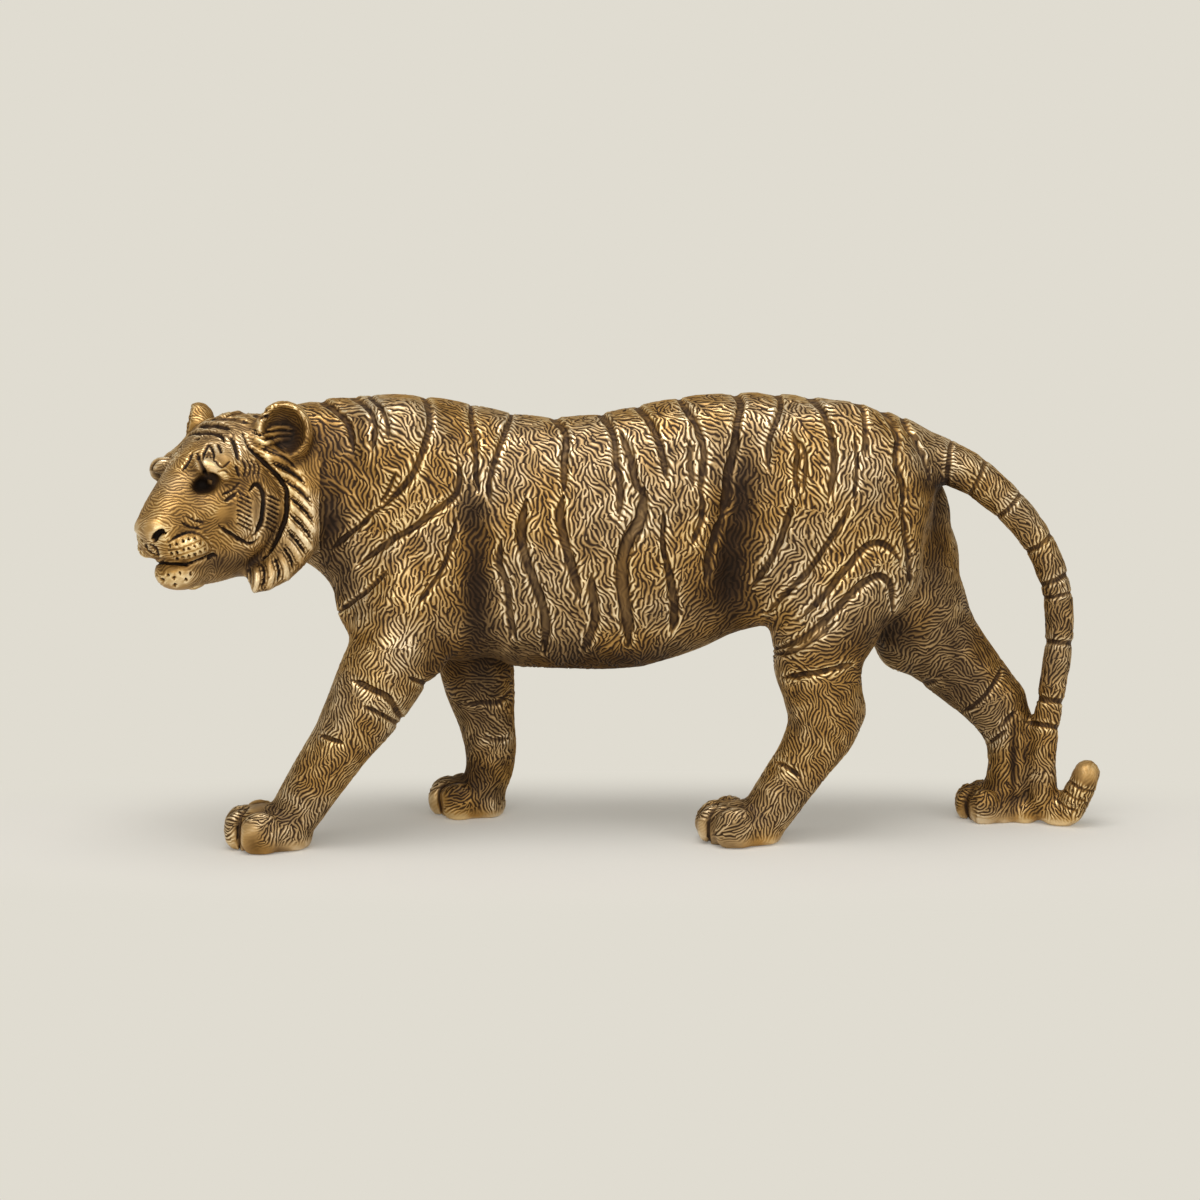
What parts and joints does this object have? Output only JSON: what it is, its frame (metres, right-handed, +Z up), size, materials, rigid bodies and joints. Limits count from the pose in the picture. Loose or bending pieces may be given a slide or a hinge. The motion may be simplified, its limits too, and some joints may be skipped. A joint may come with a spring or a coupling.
{
  "type": "tiger figurine",
  "caption": "Walking tiger figurine with its head turned aside, carved stripes and fur, a cheek ruff, cupped ears and a hanging tail with a curled tip, standing on its own paws.",
  "frame": {"origin": "on the floor under the middle of the figurine's bounding box", "axes": "+X towards the tail, against the way the tiger walks; -Y towards the tiger's left side, which is the side the picture shows; +Z up"},
  "size_m": [0.303, 0.0788, 0.142],
  "materials": {
    "antique_gold_wax": "satin"
  },
  "bodies": {
    "root": {"tiger_figurine": "antique_gold_wax"}
  },
  "joints": []
}
